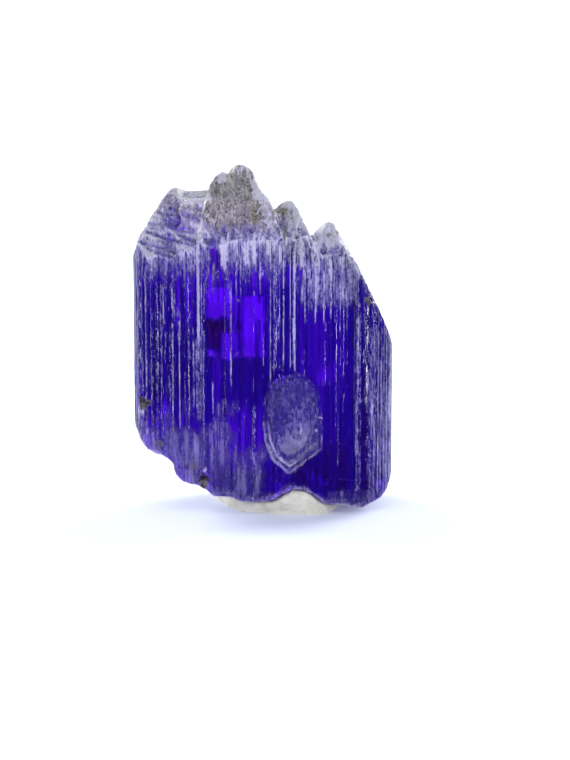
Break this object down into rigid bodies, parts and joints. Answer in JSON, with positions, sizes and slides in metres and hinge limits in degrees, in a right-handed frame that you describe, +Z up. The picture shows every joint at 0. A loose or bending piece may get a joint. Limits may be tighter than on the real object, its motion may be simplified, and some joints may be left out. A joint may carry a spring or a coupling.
{
  "type": "natural crystal specimen",
  "caption": "Tabular, vertically striated violet-blue crystal with pale jagged tips, held upright on a small lump of white putty.",
  "frame": {"origin": "on the floor under the middle of the whole part: the centre of its overall box, at the putty's flat foot", "axes": "+Z up along the crystal's striations, +X to the right across the broad face that the picture shows, +Y from that face to the hidden one"},
  "size_m": [0.019, 0.0088, 0.0253],
  "materials": {
    "crystal": "clear deep violet-blue crystal with glossy striated faces and frosted, colourless to grey tips",
    "putty": "matte off-white mounting putty, slightly wrinkled"
  },
  "bodies": {
    "root": {"tanzanite_crystal": "crystal", "putty_base": "putty"}
  },
  "joints": []
}
